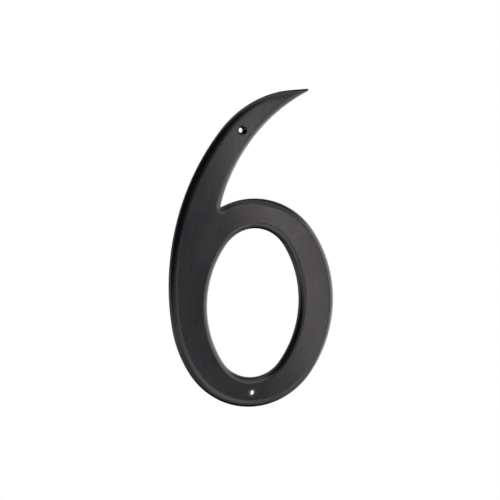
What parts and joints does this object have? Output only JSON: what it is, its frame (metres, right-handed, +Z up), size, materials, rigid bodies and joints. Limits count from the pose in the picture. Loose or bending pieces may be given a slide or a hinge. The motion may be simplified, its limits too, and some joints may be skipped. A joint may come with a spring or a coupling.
{
  "type": "house number",
  "caption": "House number in the form of the digit six, pressed from sheet metal with rolled edges and a hollow back, in satin black, nailed flat to a wall or door through two small holes.",
  "frame": {"origin": "on the wall plane, in the middle of the upper nail hole", "axes": "+Z up the digit, +Y into the wall, +X to the right as the digit is read from the front"},
  "size_m": [0.0572, 0.0019, 0.1016],
  "materials": {
    "painted_sheet": "satin black paint on pressed aluminium sheet"
  },
  "bodies": {
    "root": {"house_number": "painted_sheet"}
  },
  "joints": []
}
